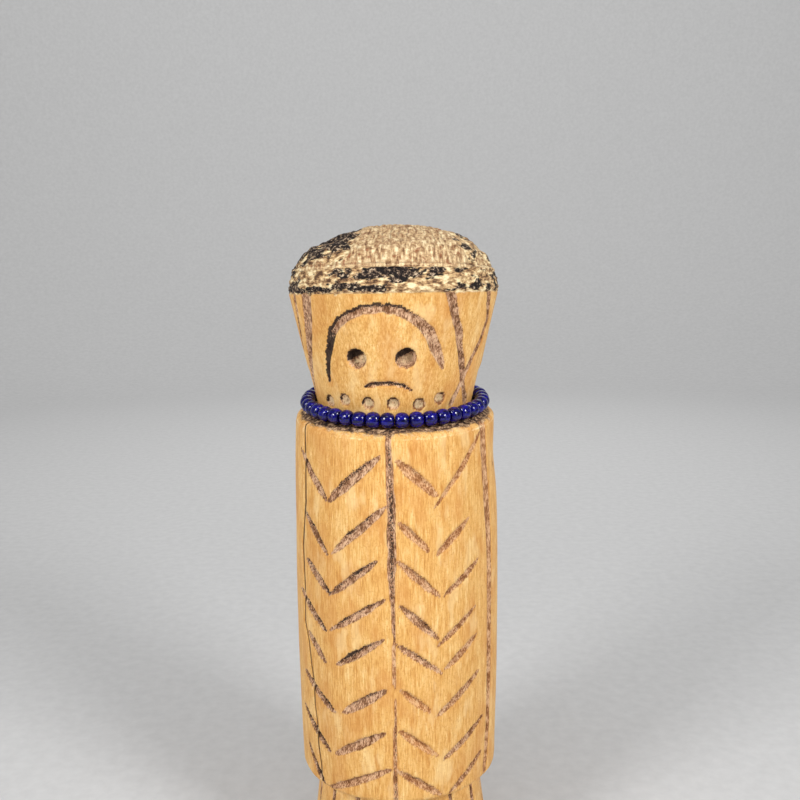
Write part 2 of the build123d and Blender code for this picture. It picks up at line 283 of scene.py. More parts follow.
def mesh_object(name, vertices, faces, material, outward=True):
    """A smooth-shaded mesh from vertices in mm. outward turns its faces outwards."""
    mesh = bpy.data.meshes.new(name)
    mesh.from_pydata((np.asarray(vertices) * MM).tolist(), [], faces)
    if outward:
        shape = bmesh.new()
        shape.from_mesh(mesh)
        bmesh.ops.recalc_face_normals(shape, faces=shape.faces)
        shape.to_mesh(mesh)
        shape.free()
    mesh.materials.append(material)
    mesh.polygons.foreach_set("use_smooth", [True] * len(mesh.polygons))
    mesh.validate()
    mesh.update()
    return add_object(name, mesh)


# ---- materials ----

# What the carving marks on each point of its surface, from 0 to 1, for the wood's material.
MARKS = ("cut", "tone", "soot_and_shade", "end_grain", "ridge", "char", "worn", "edge", "crack")


def srgb(*colour):
    """A colour given as 0 to 255 on a screen, as the linear values and alpha that nodes take."""
    shares = [value / 255 for value in colour]
    return (*(s / 12.92 if s <= 0.04045 else ((s + 0.055) / 1.055) ** 2.4 for s in shares), 1)


class Recipe:
    """Builds one node material, a call for each node."""

    def __init__(self, name):
        self.material = bpy.data.materials.new(name)
        self.material.use_nodes = True
        self.tree = self.material.node_tree

    def put(self, socket, value):
        """Links a socket to another node's output, or sets it to a plain value."""
        if isinstance(value, bpy.types.NodeSocket):
            self.tree.links.new(value, socket)
        else:
            socket.default_value = value

    def node(self, kind, inputs, **values):
        """A new node with its values and inputs set."""
        made = self.tree.nodes.new(kind)
        for name, value in values.items():
            setattr(made, name, value)
        for socket, value in inputs.items():
            self.put(made.inputs[socket], value)
        return made

    def attribute(self, name):
        return self.node("ShaderNodeAttribute", {}, attribute_name=name).outputs["Fac"]

    def noise(self, *sizes, detail=3.0, roughness=0.55, warp=0.0):
        """Noise on the object. sizes: its lumps in mm, across and along Z, or along X, Y and Z."""
        if len(sizes) == 2:
            sizes = (sizes[0], *sizes)
        place = self.node("ShaderNodeTexCoord", {}).outputs["Object"]
        scale = tuple(1 / (size * MM) for size in sizes)
        mapping = self.node("ShaderNodeMapping", {"Vector": place, "Scale": scale})
        inputs = {"Detail": detail, "Roughness": roughness, "Distortion": warp, "Scale": 1.0}
        inputs["Vector"] = mapping.outputs["Vector"]
        return self.node("ShaderNodeTexNoise", inputs).outputs["Fac"]

    def math(self, operation, first, second, clamp=False):
        inputs = {0: first, 1: second}
        return self.node("ShaderNodeMath", inputs, operation=operation, use_clamp=clamp).outputs[0]

    def total(self, *weighted):
        """The sum of (value, weight) pairs."""
        *others, (value, weight) = weighted
        last = self.math("MULTIPLY", value, weight)
        return self.math("ADD", self.total(*others), last) if others else last

    def swayed(self, value, swaying, amount):
        """A value moved up and down by noise, whose middle of 0.5 leaves it as it is."""
        centred = self.math("SUBTRACT", swaying, 0.5)
        return self.math("ADD", value, self.math("MULTIPLY", centred, amount))

    def between(self, value, low, high):
        """A smooth ramp of a value from 0 to 1, as smooth_step."""
        inputs = {"Value": value, "From Min": low, "From Max": high}
        made = self.node("ShaderNodeMapRange", inputs, interpolation_type="SMOOTHSTEP")
        return made.outputs["Result"]

    def ramp(self, value, *stops):
        """Colours along a value. Each stop is a place and its red, green and blue, as for srgb."""
        made = self.node("ShaderNodeValToRGB", {"Fac": value})
        elements = made.color_ramp.elements
        while len(elements) < len(stops):
            elements.new(0.5)
        for element, (place, *colour) in zip(elements, stops):
            element.position = place
            element.color = srgb(*colour)
        return made.outputs["Color"]

    def mix(self, share, first, second):
        inputs = {"Factor": share, 6: first, 7: second}
        return self.node("ShaderNodeMix", inputs, data_type="RGBA").outputs[2]

    def tint(self, colour, share, strength, over):
        """A colour with another laid over it, as strongly as share times strength."""
        return self.mix(self.math("MULTIPLY", share, strength), colour, srgb(*over))

    def bump(self, height, strength, distance, **under):
        inputs = {"Height": height, "Strength": strength, "Distance": distance * MM, **under}
        return self.node("ShaderNodeBump", inputs).outputs["Normal"]

    def finish(self, **sockets):
        """Sets the shader's inputs, named with _ for a space, and hands over the material."""
        shader = self.tree.nodes["Principled BSDF"]
        for name, value in sockets.items():
            self.put(shader.inputs[name.replace("_", " ")], value)
        return self.material


def carved_wood():
    """Honey-coloured wood with old stain in its cuts, and charred torn end grain on top."""
    r = Recipe("carved_wood")
    cut, tone, soot_and_shade, end_grain, ridge, char, worn, edge, crack = map(r.attribute, MARKS)

    streaks = r.noise(0.75, 22, detail=4, roughness=0.62)
    fibres = r.noise(0.3, 3.6, detail=3, roughness=0.65)
    mottle = r.noise(3.0, 9, detail=4, roughness=0.6)
    wood = r.ramp(
        r.total((streaks, 0.26), (fibres, 0.46), (mottle, 0.28)),
        (0.38, 198, 133, 61), (0.455, 218, 162, 88), (0.53, 232, 183, 110), (0.62, 246, 211, 147),
    )
    pores = r.between(r.noise(0.2, 1.4, detail=2), 0.64, 0.74)
    wood = r.tint(wood, pores, 0.42, (158, 102, 54))
    flecks = r.between(r.noise(0.8, 0.7, detail=4, roughness=0.7), 0.53, 0.63)
    wood = r.tint(wood, flecks, 0.44, (198, 132, 64))
    # Handling has browned the wood in patches, and bleached it in others.
    handled = r.between(r.noise(9, 22), 0.47, 0.66)
    wood = r.tint(wood, handled, 0.42, (206, 138, 70))
    bleached = r.between(r.noise(5, 15), 0.54, 0.68)
    wood = r.tint(wood, bleached, 0.35, (252, 224, 166))

    # Stain in the cuts: short upright fibres, dark or faint as the cut's tone says.
    tufts = r.noise(0.35, 1.6, detail=4, roughness=0.62)
    tufts = r.swayed(tufts, r.noise(2.2, 3.4, detail=2), 0.6)
    stain = r.ramp(
        tufts,
        (0.37, 52, 35, 30), (0.45, 130, 96, 76), (0.52, 184, 146, 118), (0.62, 236, 202, 168),
    )
    faint = r.ramp(tufts, (0.38, 142, 88, 50), (0.50, 206, 148, 96), (0.62, 240, 198, 148))
    cut_colour = r.mix(r.between(tone, 0.1, 0.75), faint, stain)
    colour = r.mix(r.between(r.swayed(cut, fibres, 0.7), 0.22, 0.5), wood, cut_colour)
    colour = r.tint(colour, r.between(cut, 0.0, 0.3), 0.25, (186, 122, 66))

    # The worn, grey-brown shoulder.
    scuffs = r.noise(1.4, 1.0, detail=5, roughness=0.68)
    shoulder = r.ramp(
        scuffs,
        (0.38, 30, 23, 21), (0.46, 88, 64, 50), (0.53, 144, 110, 82), (0.62, 222, 186, 144),
    )
    colour = r.mix(r.between(r.swayed(worn, scuffs, 1.6), 0.35, 0.65), colour, shoulder)

    # Torn end grain on the crown.
    torn_runs = r.noise(0.8, 4, 4.5, detail=4, roughness=0.62)
    crumbs = r.noise(1.7, 1.5, detail=5, roughness=0.68)
    cream = r.ramp(
        r.total((torn_runs, 0.52), (crumbs, 0.48)),
        (0.39, 116, 80, 56), (0.46, 178, 140, 100), (0.53, 218, 188, 144), (0.61, 248, 230, 188),
    )
    red_specks = r.between(r.noise(1.8, 1.8), 0.58, 0.66)
    cream = r.tint(cream, red_specks, 0.7, (150, 84, 54))
    cream = r.tint(cream, r.between(r.swayed(ridge, crumbs, 2.4), 0.4, 1.0), 0.55, (120, 82, 58))
    colour = r.mix(r.between(end_grain, 0.2, 0.7), colour, cream)

    # Char, with pale flakes where it has broken away.
    crust = r.noise(5.0, 2.2, detail=5, roughness=0.6)
    flake = r.ramp(
        r.noise(2.8, 1.3, detail=5, roughness=0.64),
        (0.38, 84, 58, 42), (0.46, 166, 128, 90), (0.53, 216, 182, 132), (0.61, 250, 232, 188),
    )
    black = r.ramp(
        r.noise(1.1, 0.8, detail=4, roughness=0.68),
        (0.44, 20, 16, 16), (0.52, 50, 39, 35), (0.57, 122, 98, 78), (0.64, 214, 192, 162),
    )
    crusted = r.mix(r.between(r.swayed(char, crust, 2.0), 0.42, 0.6), flake, black)
    colour = r.mix(r.between(char, 0.02, 0.22), colour, crusted)

    # Soot and painted shade in the cuts, the painted shade mostly under their upper lips; pale edges,
    # partly bruised and partly painted highlights; and the drying crack.
    specks = r.noise(0.5, 0.6, roughness=0.65)
    colour = r.tint(colour, r.between(r.swayed(soot_and_shade, specks, 2.1), 0.36, 0.66), 0.92, (34, 26, 25))
    colour = r.tint(colour, r.between(r.swayed(edge, scuffs, 1.2), 0.35, 0.75), 0.75, (252, 226, 178))
    colour = r.tint(colour, r.between(crack, 0.3, 0.65), 0.92, (54, 32, 21))

    normal = r.bump(r.total((fibres, 0.7), (pores, -0.6)), 0.4, 0.12)
    torn = r.math("MAXIMUM", r.math("MAXIMUM", cut, worn), r.math("MAXIMUM", end_grain, char))
    torn_relief = r.math("MULTIPLY", r.noise(0.45, 0.6, detail=5, roughness=0.7), torn)
    normal = r.bump(torn_relief, 0.8, 0.5, Normal=normal)
    roughness = r.total((fibres, 0.25), (r.between(torn, 0.1, 0.6), 0.25))
    return r.finish(
        Base_Color=colour,
        Roughness=r.math("ADD", roughness, 0.38, clamp=True),
        Specular_IOR_Level=0.22,
        Normal=normal,
    )


def cobalt_glass():
    """Wound opaque glass: deep cobalt with faint winding lines and small pits."""
    r = Recipe("cobalt_glass")
    swirl = r.noise(2.2, 0.9, detail=2, warp=0.8)
    pits = r.between(r.noise(0.4, 0.4, detail=2), 0.68, 0.8)
    return r.finish(
        Base_Color=r.ramp(swirl, (0.36, 1, 0, 48), (0.50, 3, 0, 88), (0.64, 7, 3, 124)),
        Roughness=r.math("ADD", r.math("MULTIPLY", pits, 0.2), 0.16),
        IOR=1.52,
        Specular_IOR_Level=0.5,
        Normal=r.bump(r.noise(1.5, 1.5, detail=1), 0.15, 0.05),
    )


def cotton_thread():
    """Dark blue-black cotton."""
    r = Recipe("cotton_thread")
    lint = r.noise(0.18, 0.18, detail=4, roughness=0.7)
    return r.finish(
        Base_Color=r.ramp(lint, (0.35, 20, 18, 30), (0.6, 58, 54, 78), (0.75, 110, 106, 126)),
        Roughness=r.math("ADD", r.math("MULTIPLY", lint, 0.2), 0.75),
        Normal=r.bump(lint, 0.8, 0.1),
    )


def studio_paper():
    """Matt pale paper under and behind the doll."""
    r = Recipe("studio_paper")
    colour = r.ramp(r.noise(6, 6), (0.3, 206, 206, 206), (0.7, 214, 214, 214))
    return r.finish(Base_Color=colour, Roughness=0.9)


# ---- the carved figure ----


class Carving:
    """The doll's surface as a grid: rows up the outline, columns round the axis."""

    def __init__(self):
        self.angles = np.concatenate([
            first + steps(0, last - first, math.degrees(size / BODY_TOP_RADIUS))
            for first, last, size in COLUMN_RUNS
        ])
        self.turn = np.radians(self.angles)
        self.radii = []
        self.heights = []
        self.parts = []
        self.blank()
        self.radius = np.vstack(self.radii)
        self.height = np.vstack(self.heights)
        self.angle = np.broadcast_to(self.angles, self.radius.shape)
        self.part = np.repeat(self.parts, len(self.angles)).reshape(self.radius.shape)
        x = self.radius * np.sin(self.turn)
        y = -self.radius * np.cos(self.turn)
        self.points = np.stack([x, y, self.height], axis=-1)
        self.warp()
        self.depth = np.zeros(self.radius.shape)
        self.marks = {name: np.zeros(self.radius.shape) for name in MARKS}

    def warp(self):
        """Moves the plain blank to the doll's own shape: a fuller head and a brim raised in front."""
        front = np.cos(self.turn)
        heights, rises = zip(*BRIM_WARP)
        lift = np.interp(self.height, heights, rises) * np.clip(front, 0, 1)
        lift = np.where(np.isin(self.part, ["head", "brim", "crown"]), lift, 0)
        tilt = CROWN_TILT * self.points[..., 0] * smooth_step(222, 230, self.height)
        self.points[..., 2] += lift + np.where(self.part == "crown", tilt, 0)
        head = self.part == "head"
        self.below_brim = BRIM_HEIGHT - self.height
        self.height = np.where(head, self.height + lift, self.height)
        # Where the lifted necklace passes, the sides and back of the neck stay slimmer.
        clear = np.maximum(smooth_step(-0.4, 0.5, front), smooth_step(180, 188, self.height))
        fuller = (HEAD_FULLNESS * clear - NAPE_HOLLOW * (1 - clear)) * head / self.radius
        self.points[..., :2] *= 1 + fuller[..., None]

    def rows(self, part, radius, height, slope=0.0):
        """Adds rows of a part. radius may be a function of height, and slope 1 is the shoulder's."""
        height = np.atleast_1d(height)[:, None]
        slope = np.atleast_1d(slope)[:, None]
        nominal = radius(height) if callable(radius) else np.atleast_1d(radius)[:, None]
        height = height - slope * math.tan(SHOULDER_SLOPE) * nominal * np.cos(self.turn)
        radius = radius(height) if callable(radius) else nominal
        self.radii.append(np.broadcast_to(radius, height.shape))
        self.heights.append(height)
        self.parts += [part] * len(height)

    def blank(self):
        """The rows from the edge of the foot's centre to the edge of the crown's."""
        self.rows("bottom", [6, 14, 22, 29, 32.4], 0)
        self.rows("skirt", [33, 33.6], [0, 0.35])
        self.rows("skirt", skirt_radius, steps(1, 30, SKIRT_ROWS))
        self.rows("skirt", skirt_radius, steps(30, SKIRT_HEIGHT - 0.4, SKIRT_TOP_ROWS))
        self.rows("under", steps(SKIRT_TOP_RADIUS, 32.1, UNDERSIDE_ROWS), SKIRT_HEIGHT)
        rounding = BODY_BOTTOM_ROUNDING
        foot = SKIRT_HEIGHT + rounding
        self.rows("body", *arc((BODY_BOTTOM_RADIUS - rounding, foot), rounding, -85, -10, 6))
        top = SHOULDER_HEIGHT - SHOULDER_FALL - SHOULDER_ROUNDING
        side = steps(foot, top, BODY_ROWS)
        self.rows("body", body_radius, side, ((side - foot) / (top - foot)) ** 2)
        rim = BODY_TOP_RADIUS - SHOULDER_ROUNDING
        self.rows("shoulder", *arc((rim, top), SHOULDER_ROUNDING, 0, 80, 6), slope=1.0)
        ledge = steps(rim, NECK_RADIUS - 0.1, LEDGE_ROWS)
        fall = SHOULDER_FALL * smooth_step(NECKLACE_RADIUS, 33, ledge)
        self.rows("ledge", ledge, SHOULDER_HEIGHT - fall, slope=1.0)
        side = steps(SHOULDER_HEIGHT, BRIM_HEIGHT - 0.5, HEAD_ROWS)
        levelled = np.clip((side - SHOULDER_HEIGHT) / 25, 0, 1)
        self.rows("head", head_radius, side, (1 - levelled) ** 2)
        side = steps(BRIM_HEIGHT - 0.2, BRIM_TOP, BRIM_ROWS)
        taper = 0.26 * np.clip(side - BRIM_HEIGHT - 1.5, 0, 10)
        self.rows("brim", BRIM_RADIUS - taper, side)
        self.rows("brim", [35.1, BRIM_GROOVE_RADIUS], [BRIM_TOP, BRIM_TOP + 0.4])
        self.rows("crown", *three_point_arc(CROWN_BASE, CROWN_EDGE, CROWN_TURN, CROWN_ROWS))
        turn_radius, turn_height = CROWN_TURN
        drop = CROWN_TOP_HEIGHT - turn_height
        dome = (turn_radius**2 + drop**2) / (2 * drop)
        radius = np.append(steps(turn_radius, CROWN_EYE, CROWN_TOP_ROWS), CROWN_EYE)
        self.rows("crown", radius, CROWN_TOP_HEIGHT - dome + np.sqrt(dome**2 - radius**2))

    def noise(self, size, seed, octaves=1):
        """Noise at every grid point, with finer noise on it for each further octave."""
        points = self.points.reshape(-1, 3)
        total = np.zeros(len(points))
        for octave in range(octaves):
            total += noise(points, np.asarray(size, float) / 2**octave, seed + octave) / 2**octave
        return total.reshape(self.radius.shape)

    def near(self, places, part, margin):
        """Which grid points could lie in a stroke: a mask over one part and its rim."""
        parts = ["body", "shoulder"] if part == "body" else [part]
        angles = [place[0] for place in places]
        heights = [place[1] for place in places]
        spare = math.degrees(margin / LEAST_RADIUS)
        return (
            np.isin(self.part, parts)
            & (self.angle > min(angles) - spare)
            & (self.angle < max(angles) + spare)
            & (self.height > min(heights) - margin)
            & (self.height < max(heights) + margin)
        )

    def measure(self, places, part, ragged):
        """How points lie beside a run of (angle, height, width).

        Gives a mask of those near it and their signed distance from it (positive above),
        plain distance, share of the way along it and its width there.
        """
        mask = self.near(places, part, max(place[2] for place in places) + 1)
        outline = head_radius if part == "head" else body_radius
        radius = self.radius[mask]
        turn = np.radians(self.angle[mask])
        nearest = np.full((4, len(radius)), np.inf)
        for index, (start, end) in enumerate(zip(places, places[1:])):
            across = (turn - math.radians(start[0])) * radius
            rise = self.height[mask] - start[1]
            run = math.radians(end[0] - start[0]) * outline((start[1] + end[1]) / 2)
            climb = end[1] - start[1]
            length = math.hypot(run, climb)
            run /= length
            climb /= length
            along = np.clip((across * run + rise * climb) / length, 0, 1)
            off_x = across - along * length * run
            off_z = rise - along * length * climb
            distance = np.hypot(off_x, off_z)
            side = np.sign(off_z * abs(run) - off_x * climb * np.sign(run or 1))
            share = (index + along) / (len(places) - 1)
            width = start[2] + (end[2] - start[2]) * along
            here = [side * distance, distance, share, width]
            nearest = np.where(distance < nearest[1], here, nearest)
        signed, distance, share, width = nearest
        wobble = noise(self.points[mask], (1.6, 1.6, 5), 5) * ragged
        return mask, signed + wobble * np.sign(signed), distance + wobble, share, width

    def mark(self, name, value, mask=...):
        """Raises one mark to at least a value, everywhere or at the masked points."""
        self.marks[name][mask] = np.maximum(self.marks[name][mask], value)

    def cut(self, mask, sink, inside, tone, soot_and_shade):
        """Sinks and stains the masked points and marks their soot and painted shade. Where two cuts
        meet, the fuller one gives the tone.
        """
        self.depth[mask] = np.maximum(self.depth[mask], sink)
        covered = smooth_step(0.0, 0.4, inside)
        stronger = covered > self.marks["cut"][mask]
        self.marks["tone"][mask] = np.where(stronger, tone, self.marks["tone"][mask])
        self.mark("cut", covered, mask)
        self.mark("soot_and_shade", soot_and_shade, mask)

    def groove(self, places, part, depth, tone, soot_and_shade=0.0, ragged=0.25, level=0.0):
        """A line cut along a run. level 1 has a flat floor, 0 a V. Gives what measure does."""
        measured = self.measure(places, part, ragged)
        mask, _, distance, _, width = measured
        inside = np.clip(1 - distance / (width / 2), 0, 1)
        bed = smooth_step(0, 0.45, inside)
        shallow = np.minimum(1, width / FULL_DEPTH_WIDTH)
        sink = depth * shallow * (inside + (bed - inside) * level)
        # Soot and painted shade darken the groove towards its floor.
        self.cut(mask, sink, inside, tone, soot_and_shade * smooth_step(0.1, 0.9, inside))
        return measured

    def chip(self, *stroke):
        """One boat-shaped chip: a steep upper wall, a long lower one, painted shade under the upper
        lip, soot all over the darkest chips and a painted highlight along the lower edge.
        """
        *ends, width, tone = stroke
        places = [(*ends[:2], width), (*ends[2:], width)]
        mask, signed, distance, share, _ = self.measure(places, "body", 0.28)
        boat = np.power(np.clip(4 * share * (1 - share), 0, 1), 0.52)
        half = np.maximum(width / 2 * boat, 0.05)
        inside = np.clip(1 - np.abs(distance) / half, 0, 1)
        touched = inside > 0
        valley = 0.45 * half
        upper_wall = np.clip((half - signed) / (half - valley), 0, 1)
        lower_wall = np.clip((half + signed) / (half + valley), 0, 1)
        sink = CHIP_DEPTH * np.power(boat, 1.2) * np.minimum(upper_wall, lower_wall) * touched
        # Painted shade under the upper lip, where the steep upper wall would shade the cut.
        lip = smooth_step(0.0, 0.6, signed / half) * touched * boat
        black = max(0, tone - 0.75) * 2.4 * smooth_step(0.1, 0.6, inside)
        patchy = 0.75 + 0.55 * noise(self.points[mask], 4.0, 8)
        soot_and_shade = np.clip((0.95 * lip * tone + black) * patchy, 0, 1)
        self.cut(mask, sink, inside, tone, soot_and_shade)
        # A painted highlight along the lit lower edge.
        self.mark("edge", 0.45 * bell(signed + half + 0.25, 0.4) * boat, mask)

    def hole(self, place, radius, depth, tone, roof):
        """A drilled hole with steep walls, painted shade in its top left and a painted highlight on the
        rest of its floor. roof is the share of it that is in painted shade, from the top left.
        """
        angle, height = place
        mask = self.near([place], "head", radius + 1)
        across = np.radians(self.angle[mask] - angle) * self.radius[mask]
        rise = self.height[mask] - height
        out = np.hypot(across, rise) + 0.12 * noise(self.points[mask], 1.5, 3)
        sink = depth * smooth_step(radius, radius * 0.72, out)
        inside = np.clip((radius - out) / (0.3 * radius), 0, 1)
        # Painted shade in the hole's top left, as from a light above, and a dark crescent on its upper
        # wall.
        up = (rise - 0.45 * across) / (1.1 * radius)
        dark = smooth_step(0.75 - 2 * roof, 1.15 - 2 * roof, up)
        wall = smooth_step(0.6, 0.8, out / radius) * smooth_step(-0.2, 0.4, up)
        painted_shade = np.maximum(dark, wall)
        self.cut(mask, sink, inside, tone, painted_shade * smooth_step(0, 0.3, inside))
        # A painted highlight on the lit rest of the hole's floor.
        self.mark("edge", 0.6 * (1 - painted_shade) * inside, mask)

    def carve_body(self):
        for chip in [*LEFT_CHIPS, *RIGHT_CHIPS, NICK]:
            self.chip(*chip)
        for run, depth, tone, soot_and_shade in CENTRE_LINE:
            self.groove(run, "body", depth, tone, soot_and_shade=soot_and_shade, ragged=0.35, level=0.4)
        self.groove(BORDER_LINE, "body", 1.1, 0.42, soot_and_shade=0.16, level=0.45)
        angle, height, depth = HOLLOW
        hollow = depth * bell(self.angle - angle, 14) * bell(self.height - height, 9)
        self.depth += hollow * (self.part == "body")

    def split_crack(self):
        """The drying crack down the left panel, with a pale line along its lower lip that is a painted
        highlight.
        """
        mask, signed, distance, _, width = self.measure(CRACK, "body", 0.12)
        split = bell(distance, width / 2)
        self.depth[mask] += 0.7 * split
        self.mark("crack", split, mask)
        self.mark("edge", 0.55 * bell(distance - 0.9 * width, 0.4) * (signed < 0), mask)

    def carve_head(self):
        for places in HEAD_BANDS:
            self.groove(places, "head", 0.7, 0.85, soot_and_shade=0.25, ragged=0.4, level=0.8)
        # The arch's left leg is black with soot right across, and the rest has soot and painted shade
        # under its upper lip only.
        arch = self.groove(HOOD, "head", 0.9, 0.7, ragged=0.3, level=0.6)
        mask, signed, distance, share, width = arch
        above = signed / (width / 2)
        inside = distance < width / 2
        left_leg = smooth_step(0.27, 0.16, share) * inside
        upper_lip = smooth_step(0.05, 0.8, above) * inside * smooth_step(0.8, 0.5, share)
        self.mark("soot_and_shade", np.maximum(upper_lip, left_leg), mask)
        # A painted highlight along the arch's lit lower lip.
        lower_lip = smooth_step(0.0, -0.7, above) * (distance < 0.55 * width)
        self.mark("edge", 0.42 * lower_lip * (1 - left_leg), mask)
        # The mouth: soot and painted shade along its floor, and a painted highlight along its lower
        # lip.
        mask, signed, *_ = self.groove(MOUTH, "head", 1.0, 0.5, soot_and_shade=1.0, ragged=0.1)
        self.mark("edge", 0.42 * bell(signed + 1.5, 0.5), mask)
        for place in EYES:
            self.hole(place, EYE_RADIUS, EYE_DEPTH, 0.8, 0.45)
        for place in DOTS:
            self.hole(place, DOT_RADIUS, DOT_DEPTH, 0.5, 0.0)

    def carve_skirt(self):
        for index in range(SKIRT_GROOVES):
            angle = (FIRST_SKIRT_GROOVE + 360 / SKIRT_GROOVES * index + 180) % 360 - 180
            places = [(angle, height, SKIRT_GROOVE_WIDTH) for height in (0.5, SKIRT_HEIGHT - 0.5)]
            self.groove(places, "skirt", GROOVE_DEPTH, 0.85, soot_and_shade=0.5, ragged=0.3)

    def wear_shoulder(self):
        """The shoulder is scraped and dirty, its front rim is bruised pale with a painted highlight
        along it, and painted shade darkens the foot of the neck.
        """
        ledge = self.part == "ledge"
        rounding = self.part == "shoulder"
        slope = SHOULDER_HEIGHT - self.radius * np.cos(self.turn) * math.tan(SHOULDER_SLOPE)
        below = slope - self.height
        inner = smooth_step(34.6, 31.5, self.radius + 0.8 * self.noise(4, 24, 2))
        worn = np.where(ledge | rounding, 0.35 + 0.65 * inner, 0.0)
        self.mark("worn", worn * smooth_step(2.6, 1.9, below + 0.35 * self.noise(3, 25, 2)))
        # The pale rim: partly bruised wood, partly a painted highlight where the rounded rim catches
        # the light.
        pale_rim_and_highlight = bell(below - 2.7, 0.55) * (rounding | (self.part == "body"))
        self.mark("edge", 0.8 * pale_rim_and_highlight * (0.6 + 0.4 * self.noise((7, 7, 3), 23)))
        scrape = 0.18 * self.noise((3.0, 1.2, 3.0), 21, 2)
        self.depth += np.where(ledge, np.maximum(scrape, -0.05) + LEDGE_SINK, 0)
        rim = smooth_step(1.6, 0.2, below - SHOULDER_FALL)
        self.depth += np.where(rounding, 0.25 * rim * (1 + self.noise(2.5, 22, 2)), 0)
        # Painted shade at the foot of the neck, in the corner where it meets the ledge behind the
        # beads.
        neck = (self.part == "head") & (self.radius < 28)
        self.mark("soot_and_shade", 0.7 * smooth_step(1.6, 0.0, self.height - slope) * neck)

    def tear_crown(self):
        """Torn end grain in the middle of the crown, and burnt lumps at its sides and back."""
        across = self.points[..., 0]
        back = self.points[..., 1]
        crown = self.part == "crown"
        height = self.height
        wander = 1.6 * self.noise(5, 31, 3)
        fanned = across / (1 + 0.006 * np.clip(-back, 0, 40)) + 0.5 * wander
        valley = 1 - np.abs(np.sin(math.pi * fanned / TORN_SPACING))
        valley = valley * (0.65 + 0.5 * self.noise((2.5, 6, 6), 34))
        # The burnt lumps: large on the left above the brim, thinner on the right, and behind.
        fall = 234 - height
        left = smooth_step(0, 2.5, -across - 10 - 0.4 * fall + wander)
        above = np.maximum(smooth_step(220.5, 222.5, height + wander), smooth_step(30, 33, -across))
        right = 0.65 * smooth_step(0, 3, across - 17.5 - 0.4 * fall + wander)
        behind = 0.8 * smooth_step(14, 20, back + 2 * wander)
        burnt = np.maximum(np.maximum(left * above, right), behind) * crown
        middle = (1 - burnt) * crown
        self.depth += middle * (0.6 * valley + 0.28 * self.noise(2.2, 33, 3))
        self.mark("ridge", middle * smooth_step(0.25, 0.75, valley) * smooth_step(219.5, 223, height))
        lumps = self.noise((6, 6, 4), 35, 3)
        self.depth += burnt * smooth_step(218.6, 221, height) * (0.6 + 1.4 * lumps)
        self.depth += middle * 0.2 * self.noise((2.5, 2.5, 1.2), 37, 2)
        self.mark("char", burnt * np.clip(0.72 - 0.8 * lumps, 0.1, 1))
        self.mark("end_grain", crown)

    def burn_brim(self):
        """The brim is burnt in layers, with a pale lip and a groove where the crown starts."""
        brim = self.part == "brim"
        crown = self.part == "crown"
        height = self.height
        angles, top, centre, low = zip(*BRIM_BURN)
        ragged = height + 0.9 * self.noise((3, 3, 1.5), 45, 3)
        upper = smooth_step(BRIM_TOP - 3.0, BRIM_TOP - 1.2, ragged)
        lower = smooth_step(BRIM_HEIGHT + 1.8, BRIM_HEIGHT + 0.5, ragged)
        burn = np.interp(self.angle, angles, centre) * (1 - upper - lower)
        burn += np.interp(self.angle, angles, top) * upper
        burn += np.interp(self.angle, angles, low) * lower
        burn += 0.4 * self.noise((2.6, 2.6, 0.9), 41, 3)
        self.mark("char", brim * np.clip(burn, 0.2, 1))
        self.mark("end_grain", brim)
        above_base = height - CROWN_BASE[1]
        lip = bell(above_base - 0.6, 0.5) * crown
        self.mark("edge", 0.6 * lip)
        self.marks["char"] *= 1 - 0.6 * lip
        groove = bell(above_base - 1.6, 0.35) * crown
        self.mark("ridge", groove)
        self.depth += 0.4 * groove
        layer = np.cos(2 * math.pi * (height + 0.9 * self.noise((6, 6, 2), 47, 2)) / BRIM_LAYER)
        self.depth += brim * (0.25 * self.noise((3, 3, 0.9), 43, 3) + 0.2 - 0.22 * layer)
        # The flame has licked the top of the face too.
        licked = smooth_step(0.9, 0.1, self.below_brim + 0.8 * self.noise((2, 2, 5), 46, 2))
        self.mark("char", 0.9 * licked * (self.part == "head") * np.interp(self.angle, angles, low))

    def hand_work(self):
        """The slight unevenness of knife work on every surface."""
        sides = np.isin(self.part, ["body", "head", "skirt", "shoulder"])
        facets = 0.16 * self.noise((7, 7, 40), 51) + 0.035 * self.noise((1.6, 1.6, 14), 52, 2)
        self.depth += np.where(sides, facets, 0.0)
        behind = smooth_step(62, 80, np.abs(self.angle)) * (self.part == "body")
        self.depth += behind * 0.22 * self.noise((5, 5, 26), 53)

    def build(self, material):
        """The finished mesh: the blank sunk by the carving's depth, with the marks on its points."""
        around = np.roll(self.points, -1, axis=1) - np.roll(self.points, 1, axis=1)
        out = np.cross(around, np.gradient(self.points, axis=0))
        out /= np.linalg.norm(out, axis=-1, keepdims=True)
        carved = self.points - out * self.depth[..., None]
        carved[..., 2] = np.maximum(carved[..., 2], 0)
        rows, columns = self.radius.shape
        vertices = carved.reshape(-1, 3)
        top = vertices[-columns:].mean(axis=0)
        vertices = np.vstack([vertices, [0, 0, 0], top])
        low = rows * columns
        index = np.arange(low).reshape(rows, columns)
        beside = np.roll(index, -1, axis=1)
        quads = np.stack([index[:-1], beside[:-1], beside[1:], index[1:]], axis=-1)
        faces = quads.reshape(-1, 4).tolist()
        for here, there in zip(index[0].tolist(), beside[0].tolist()):
            faces.append((there, here, low))
        for here, there in zip(index[-1].tolist(), beside[-1].tolist()):
            faces.append((here, there, low + 1))
        made = mesh_object("carved_doll", vertices, faces, material)
        for name, values in self.marks.items():
            layer = made.data.attributes.new(name, "FLOAT", "POINT")
            flat = np.append(values.reshape(-1), [values[0].mean(), values[-1].mean()])
            layer.data.foreach_set("value", flat.astype(np.float32))
        return made


